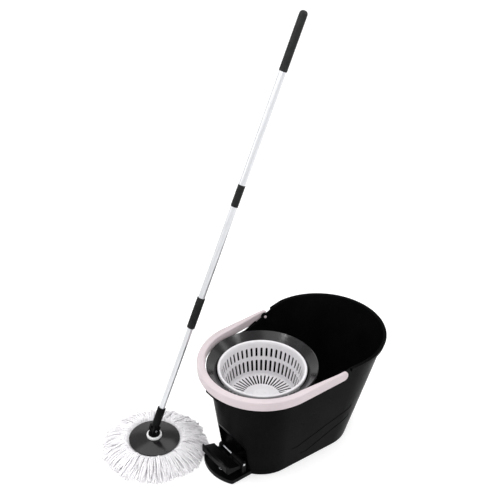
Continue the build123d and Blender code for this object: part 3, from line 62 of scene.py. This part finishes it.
# ------------------------------------------------------------------ materials
class Finish:
    """A node material with its Principled shader and a few ways to wire detail into it."""

    def __init__(self, name, stretch=(1.0, 1.0, 1.0), turn=(0.0, 0.0, 0.0)):
        self.material = bpy.data.materials.new(name)
        self.material.use_nodes = True
        self.tree = self.material.node_tree
        self.shader = self.tree.nodes["Principled BSDF"]
        coordinates = self.node("ShaderNodeTexCoord")
        mapping = self.node("ShaderNodeMapping")
        mapping.vector_type = "TEXTURE"
        mapping.inputs["Rotation"].default_value = turn
        mapping.inputs["Scale"].default_value = stretch
        self.link(coordinates.outputs["Object"], mapping.inputs["Vector"])
        self.place = mapping.outputs["Vector"]
        self.height = None

    def node(self, kind):
        return self.tree.nodes.new(kind)

    def link(self, source, target):
        self.tree.links.new(source, target)

    def set(self, **values):
        for name, value in values.items():
            self.shader.inputs[name.replace("_", " ")].default_value = value
        return self

    def noise(self, scale, detail=3.0, roughness=0.5, distortion=0.0):
        texture = self.node("ShaderNodeTexNoise")
        texture.inputs["Scale"].default_value = scale
        texture.inputs["Detail"].default_value = detail
        texture.inputs["Roughness"].default_value = roughness
        texture.inputs["Distortion"].default_value = distortion
        self.link(self.place, texture.inputs["Vector"])
        return texture.outputs["Fac"]

    def cells(self, scale):
        texture = self.node("ShaderNodeTexVoronoi")
        texture.inputs["Scale"].default_value = scale
        self.link(self.place, texture.inputs["Vector"])
        return texture.outputs["Distance"]

    def spread(self, value, low, high, start=0.3, end=0.7):
        """value moved from start..end to low..high."""
        ramp = self.node("ShaderNodeMapRange")
        ramp.inputs["From Min"].default_value = start
        ramp.inputs["From Max"].default_value = end
        ramp.inputs["To Min"].default_value = low
        ramp.inputs["To Max"].default_value = high
        self.link(value, ramp.inputs["Value"])
        return ramp.outputs["Result"]

    def rough(self, value, low, high):
        self.link(self.spread(value, low, high), self.shader.inputs["Roughness"])
        return self

    def colour(self, value, first, second, start=0.35, end=0.65):
        mix = self.node("ShaderNodeMix")
        mix.data_type = "RGBA"
        mix.inputs[6].default_value = (*first, 1.0)
        mix.inputs[7].default_value = (*second, 1.0)
        self.link(self.spread(value, 0.0, 1.0, start, end), mix.inputs[0])
        self.link(mix.outputs[2], self.shader.inputs["Base Color"])
        return self

    def bump(self, value, millimetres, strength=1.0):
        bump = self.node("ShaderNodeBump")
        bump.inputs["Strength"].default_value = strength
        bump.inputs["Distance"].default_value = millimetres / 1000.0
        self.link(value, bump.inputs["Height"])
        if self.height:
            self.link(self.height, bump.inputs["Normal"])
        self.height = bump.outputs["Normal"]
        self.link(self.height, self.shader.inputs["Normal"])
        return self


def bucket_plastic():
    """Black polypropylene: semi-gloss, with faint flow marks and a very fine orange peel."""
    f = Finish("bucket_plastic")
    broad = f.noise(14.0, 4.0)
    f.colour(broad, (0.0018, 0.0018, 0.0020), (0.0030, 0.0030, 0.0032))
    f.rough(f.noise(55.0, 6.0, 0.6), 0.27, 0.38)
    f.bump(f.noise(700.0, 1.0), 0.012, 0.5)
    return f.set(Specular_IOR_Level=0.014)


def collar_plastic():
    """Polished black plastic, with hairline scuffs in its gloss."""
    f = Finish("collar_plastic")
    f.colour(f.noise(20.0, 3.0), (0.0085, 0.0075, 0.0085), (0.013, 0.012, 0.013))
    f.rough(f.noise(160.0, 8.0, 0.7), 0.11, 0.19)
    f.bump(f.noise(500.0, 1.0), 0.008, 0.4)
    return f.set(Specular_IOR_Level=0.42)


def black_plastic():
    """Fine-grained moulded plastic."""
    f = Finish("black_plastic")
    f.colour(f.noise(30.0, 4.0), (0.0028, 0.0028, 0.0030), (0.0050, 0.0050, 0.0054))
    f.rough(f.noise(90.0, 6.0, 0.6), 0.32, 0.46)
    f.bump(f.noise(1500.0, 2.0), 0.03, 0.5)
    return f.set(Specular_IOR_Level=0.05)


def grip_plastic():
    """Soft-touch plastic with a pebbled grain."""
    f = Finish("grip_plastic")
    f.colour(f.noise(60.0, 4.0), (0.0050, 0.0050, 0.0055), (0.0095, 0.0095, 0.010))
    f.rough(f.noise(200.0, 5.0, 0.6), 0.44, 0.60)
    f.bump(f.cells(1400.0), 0.06, 0.6)
    return f.set(Specular_IOR_Level=0.18)


def basket_plastic():
    """White plastic, slightly translucent, with a satin gloss."""
    f = Finish("basket_plastic")
    f.colour(f.noise(18.0, 4.0), (0.60, 0.585, 0.605), (0.66, 0.645, 0.665))
    f.rough(f.noise(80.0, 6.0, 0.6), 0.26, 0.40)
    f.bump(f.noise(500.0, 2.0), 0.04, 0.4)
    return f.set(Subsurface_Weight=0.12, Subsurface_Radius=(1.0, 1.0, 1.0), Subsurface_Scale=0.002)


def white_plastic():
    """Plain white moulded plastic."""
    f = Finish("white_plastic")
    f.colour(f.noise(40.0, 4.0), (0.76, 0.76, 0.77), (0.82, 0.82, 0.83))
    f.rough(f.noise(120.0, 6.0, 0.6), 0.30, 0.45)
    f.bump(f.noise(700.0, 2.0), 0.04, 0.4)
    return f


def handle_plastic():
    """Warm light grey plastic, a little matt from handling."""
    f = Finish("handle_plastic")
    f.colour(f.noise(12.0, 5.0), (0.50, 0.435, 0.455), (0.54, 0.47, 0.49))
    f.rough(f.noise(70.0, 7.0, 0.65), 0.34, 0.52)
    f.bump(f.noise(900.0, 2.0), 0.05, 0.5)
    return f.set(Subsurface_Weight=0.05, Subsurface_Radius=(1.0, 0.8, 0.8), Subsurface_Scale=0.002)


def gear_plastic():
    """Natural acetal."""
    f = Finish("gear_plastic")
    f.colour(f.noise(50.0, 4.0), (0.62, 0.61, 0.55), (0.70, 0.69, 0.63))
    f.rough(f.noise(150.0, 5.0, 0.6), 0.34, 0.48)
    f.bump(f.noise(900.0, 2.0), 0.04, 0.4)
    return f


def steel():
    """Bright drawn steel with fine streaks along Y."""
    f = Finish("steel", stretch=(1.0, 18.0, 1.0))
    f.colour(f.noise(700.0, 4.0), (0.52, 0.53, 0.55), (0.66, 0.67, 0.69))
    f.rough(f.noise(900.0, 5.0, 0.6), 0.20, 0.34)
    f.bump(f.noise(1600.0, 2.0), 0.02, 0.4)
    return f.set(Metallic=1.0)


def bronze():
    """Sintered bronze, finely porous."""
    f = Finish("bronze")
    f.colour(f.noise(300.0, 4.0), (0.42, 0.29, 0.14), (0.56, 0.40, 0.21))
    f.rough(f.noise(500.0, 4.0), 0.38, 0.52)
    f.bump(f.cells(3500.0), 0.05, 0.5)
    return f.set(Metallic=1.0)


def tube_aluminium():
    """Satin anodised tube, with drawing lines along the pole."""
    f = Finish("tube_aluminium", stretch=(1.0, 1.0, 60.0), turn=(0.0, LEAN, 0.0))
    f.colour(f.noise(1500.0, 4.0), (0.60, 0.61, 0.63), (0.71, 0.72, 0.74))
    f.rough(f.noise(2200.0, 5.0, 0.6), 0.26, 0.38)
    f.bump(f.noise(2600.0, 2.0), 0.015, 0.5)
    return f.set(Metallic=0.95, Anisotropic=0.35)


def rubber():
    """Matt moulded rubber."""
    f = Finish("rubber")
    f.colour(f.noise(80.0, 4.0), (0.012, 0.012, 0.012), (0.022, 0.022, 0.022))
    f.rough(f.noise(300.0, 4.0), 0.65, 0.85)
    f.bump(f.noise(1800.0, 3.0), 0.08, 0.6)
    return f


def microfibre():
    """White microfibre yarn: soft sheen, fuzzy surface, slightly uneven white."""
    f = Finish("microfibre")
    f.colour(f.noise(90.0, 5.0, 0.65), (0.88, 0.86, 0.89), (0.94, 0.92, 0.95))
    f.rough(f.noise(300.0, 4.0), 0.85, 0.98)
    f.bump(f.noise(1100.0, 6.0, 0.75), 0.55, 0.8)
    f.bump(f.cells(2400.0), 0.25, 0.5)
    return f.set(Sheen_Weight=0.35, Sheen_Roughness=0.5, Subsurface_Weight=0.45,
                 Subsurface_Radius=(1.0, 1.0, 1.0), Subsurface_Scale=0.006)


makers = {maker.__name__: maker for maker in (
    bucket_plastic, collar_plastic, black_plastic, grip_plastic, basket_plastic, white_plastic,
    handle_plastic, gear_plastic, steel, bronze, tube_aluminium, rubber, microfibre)}
finishes = {name: maker().material for name, maker in makers.items()}

for name, thing in nodes.items():
    for place in thing.material_slots:
        place.material = finishes[slots[name]]


# ------------------------------------------------------------------ mesh helpers
def tube(points, radius, sides, lobes=0, twist=0.0, phase=0.0, lobe_depth=0.0, taper=1.0):
    """Vertices and faces of a closed tube along points; lobes with a twist make a plied yarn."""
    verts, faces = [], []
    count = len(points)
    side = None
    for i, at in enumerate(points):
        ahead = points[min(i + 1, count - 1)]
        behind = points[max(i - 1, 0)]
        along = (ahead - behind).normalized()
        side = along.orthogonal() if side is None else side - along * side.dot(along)
        side.normalize()
        other = along.cross(side)
        share = i / (count - 1)
        size = radius * (1.0 - (1.0 - taper) * share ** 3)
        for k in range(sides):
            angle = 2 * math.pi * k / sides
            wave = 1.0
            if lobes:
                wave = 1.0 - lobe_depth * (0.5 - 0.5 * math.cos(lobes * (angle - phase - twist * share)))
            verts.append(at + (side * math.cos(angle) + other * math.sin(angle)) * size * wave)
    for i in range(count - 1):
        for k in range(sides):
            a, b = i * sides + k, i * sides + (k + 1) % sides
            faces.append((a, b, b + sides, a + sides))
    faces.append(tuple(reversed(range(sides))))
    faces.append(tuple(range((count - 1) * sides, count * sides)))
    return verts, faces


def piece_from(name, verts, faces, material):
    """A smooth-shaded object in the scene."""
    mesh = bpy.data.meshes.new(name)
    mesh.from_pydata([tuple(v) for v in verts], [], faces)
    mesh.validate()
    mesh.polygons.foreach_set("use_smooth", [True] * len(mesh.polygons))
    mesh.materials.append(material)
    thing = bpy.data.objects.new(name, mesh)
    bpy.context.scene.collection.objects.link(thing)
    return thing


def smooth_path(points, steps):
    """Catmull-Rom points through the given ones."""
    chain = [points[0] * 2 - points[1], *points, points[-1] * 2 - points[-2]]
    path = []
    for i in range(1, len(chain) - 2):
        a, b, c, d = chain[i - 1:i + 3]
        for k in range(steps):
            t = k / steps
            path.append(0.5 * ((2 * b) + (c - a) * t + (2 * a - 5 * b + 4 * c - d) * t ** 2
                               + (3 * b - a - 3 * c + d) * t ** 3))
    path.append(points[-1])
    return path


# ------------------------------------------------------------------ strands
strands_low, strands_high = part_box("mop_strands")
head = (strands_low + strands_high) / 2
strand_reach = (strands_high.x - strands_low.x) / 2
carrier_low, carrier_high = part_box("strand_carrier")
plate_low, plate_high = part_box("mop_plate")
plate_reach = (plate_high.x - plate_low.x) / 2
YARN = 0.0028                    # radius
YARN_SIDES = 6
TOP_LAYER = 5                    # layers are 0, on the floor, to this one
FIRST_COUNT = 110                # strands in the lowest layer
MORE_PER_LAYER = 6
STEPS = 4                        # path points between two profile points


def strand(rng, angle, layer):
    """Path of one strand: out from the clip ring, over the layers below, down to the floor."""
    lift = layer / TOP_LAYER
    start = carrier_high.x - head.x - 0.004
    clump = 0.5 * math.sin(9 * angle + 1.3) + 0.35 * math.sin(17 * angle + 4.0) + 0.25 * math.sin(31 * angle)
    reach = strand_reach + 0.0015 + 0.0045 * clump + rng.uniform(-0.005, 0.004) - 0.003 * (1 - lift)
    roof = plate_low.z - YARN - 0.0012          # as high as a strand can be under the plate's rim
    hump = 0.0275 * lift + (0.0045 * max(clump, 0.0) if layer == TOP_LAYER else 0.0)
    profile = [(start, 0.005 + 0.0165 * lift),
               (plate_reach + 0.001, 0.0055 + (roof - 0.0055) * lift),
               (plate_reach + 0.011, 0.0060 + hump + rng.uniform(-0.001, 0.001)),
               (0.72 * strand_reach, 0.0055 + 0.0240 * lift + rng.uniform(-0.0015, 0.0015)),
               (0.88 * strand_reach, 0.0045 + 0.0150 * lift + rng.uniform(-0.002, 0.002)),
               (reach, 0.0030 + 0.0060 * lift * rng.random())]
    sway = rng.uniform(-0.06, 0.06)
    wobble = rng.uniform(0.0006, 0.0022)
    turns = rng.uniform(1.0, 2.2)
    shift = rng.uniform(0, 2 * math.pi)
    points = []
    for k, (far, height) in enumerate(profile):
        share = k / (len(profile) - 1)
        bend = angle + sway * share ** 2
        points.append(Vector((head.x + far * math.cos(bend), head.y + far * math.sin(bend), height)))
    path = smooth_path(points, STEPS)
    across = Vector((-math.sin(angle), math.cos(angle), 0.0))
    for k, at in enumerate(path):
        share = k / (len(path) - 1)
        at += across * wobble * share * math.sin(2 * math.pi * turns * share + shift)
        at.z = max(at.z, YARN * 1.02)
    return path


def strands():
    rng = random.Random(7)
    verts, faces = [], []
    for layer in range(TOP_LAYER + 1):
        count = FIRST_COUNT + MORE_PER_LAYER * layer
        for k in range(count):
            angle = 2 * math.pi * (k + 0.5 * (layer % 2) + rng.uniform(-0.25, 0.25)) / count
            path = strand(rng, angle, layer)
            more, skin = tube(path, YARN * rng.uniform(0.92, 1.06), YARN_SIDES, lobes=2,
                              twist=rng.uniform(26, 32),
                              phase=rng.uniform(0, math.pi), lobe_depth=0.30, taper=0.80)
            start = len(verts)
            verts.extend(more)
            faces.extend(tuple(start + i for i in face) for face in skin)
    return piece_from("microfibre_strands", verts, faces, finishes["microfibre"])


mop_yarn = strands()
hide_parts("mop_strands")
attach(mop_yarn, "mop_head")


# ------------------------------------------------------------------ return spring under the pedal
spring_low, spring_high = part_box("pedal_spring")
SPRING_WIRE = 0.0008             # radius
SPRING_TURNS = 6.5
END_TURNS = 0.75                 # closed turns at each end
END_RISE = 0.06                  # share of the rise that is even all along the spring


def spring():
    centre = (spring_low + spring_high) / 2
    coil = (spring_high.x - spring_low.x) / 2 - SPRING_WIRE
    bottom = spring_low.z + SPRING_WIRE
    rise = spring_high.z - spring_low.z - 2 * SPRING_WIRE
    steps = 26 * int(SPRING_TURNS)
    ends = END_TURNS / SPRING_TURNS
    path = []
    for k in range(steps + 1):
        share = k / steps
        risen = min(max((share - ends) / (1 - 2 * ends), 0.0), 1.0)
        angle = 2 * math.pi * SPRING_TURNS * share
        path.append(Vector((centre.x + coil * math.cos(angle), centre.y + coil * math.sin(angle),
                            bottom + rise * (END_RISE * share + (1 - END_RISE) * risen))))
    verts, faces = tube(path, SPRING_WIRE, 10)
    return piece_from("return_spring", verts, faces, finishes["steel"])


return_spring = spring()
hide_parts("pedal_spring")
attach(return_spring, "bucket")
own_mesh(return_spring)


# ------------------------------------------------------------------ floor, lights, camera
def studio_floor():
    """A pale floor that turns up into a backdrop all round, far from the object."""
    verts, faces = [], []
    rings = [(0.02, 0.0), (2.0, 0.0), (4.0, 0.0), (5.0, 0.12), (5.8, 0.6), (6.2, 1.6), (6.4, 4.0)]
    sides = 64
    for far, height in rings:
        for k in range(sides):
            angle = 2 * math.pi * k / sides
            verts.append(Vector((far * math.cos(angle), far * math.sin(angle), height)))
    for i in range(len(rings) - 1):
        for k in range(sides):
            a, b = i * sides + k, i * sides + (k + 1) % sides
            faces.append((a, b, b + sides, a + sides))
    faces.append(tuple(reversed(range(sides))))
    f = Finish("studio_floor")
    f.colour(f.noise(3.0, 3.0), (0.60, 0.60, 0.60), (0.62, 0.62, 0.62))
    f.rough(f.noise(20.0, 3.0), 0.75, 0.85)
    f.set(Emission_Color=(1.0, 1.0, 1.0, 1.0), Emission_Strength=0.56)
    return piece_from("studio_floor", verts, faces, f.material)


studio_floor()

bpy.context.scene.view_settings.view_transform = "Standard"
world = bpy.data.worlds.new("studio")
bpy.context.scene.world = world
world.use_nodes = True
world.node_tree.nodes["Background"].inputs["Color"].default_value = (1.0, 1.0, 1.0, 1.0)
world.node_tree.nodes["Background"].inputs["Strength"].default_value = 0.44


def softbox(name, at, towards, width, height, power):
    """A rectangular area light aimed at a point."""
    data = bpy.data.lights.new(name, "AREA")
    data.shape = "RECTANGLE"
    data.size = width
    data.size_y = height
    data.energy = power
    lamp = bpy.data.objects.new(name, data)
    bpy.context.scene.collection.objects.link(lamp)
    lamp.location = at
    lamp.rotation_mode = "QUATERNION"
    lamp.rotation_quaternion = (Vector(towards) - Vector(at)).to_track_quat("-Z", "Y")
    return lamp


centre = (0.03, 0.0, 0.15)
softbox("key", (-1.6, -1.5, 2.3), centre, 1.2, 1.2, 18.0)
softbox("overhead", (0.1, 0.5, 2.9), centre, 3.0, 3.0, 40.0)
softbox("right_strip", (1.9, -1.0, 1.4), centre, 0.6, 1.4, 6.0)
softbox("left_strip", (-1.9, 1.0, 1.6), centre, 0.6, 1.4, 7.0)
softbox("back_left", (0.46, -0.36, 1.45), (0.01, 0.125, 0.27), 0.20, 0.24, 3.6)
softbox("back_right", (-0.42, 0.24, 1.50), (0.11, 0.05, 0.27), 0.20, 0.24, 3.6)

# the camera of the product shot
HEADING = math.radians(38.439)
DOWN = math.radians(32.234)
ROLL = math.radians(1.101)
DISTANCE = 2.9
AIM = Vector((0.32255, 0.46386, 0.25))
forward = Vector((math.cos(DOWN) * math.sin(HEADING), math.cos(DOWN) * math.cos(HEADING), -math.sin(DOWN)))
level = Vector((math.cos(HEADING), -math.sin(HEADING), 0.0))
upright = level.cross(forward)
camera_data = bpy.data.cameras.new("camera")
camera_data.sensor_width = 36.0
camera_data.lens = 71.114
camera_data.clip_end = 50.0
camera = bpy.data.objects.new("camera", camera_data)
bpy.context.scene.collection.objects.link(camera)
right = level * math.cos(ROLL) + upright * math.sin(ROLL)
above = upright * math.cos(ROLL) - level * math.sin(ROLL)
camera.matrix_world = Matrix.Translation(AIM - forward * DISTANCE) @ Matrix(
    (right, above, -forward)).transposed().to_4x4()
bpy.context.scene.camera = camera
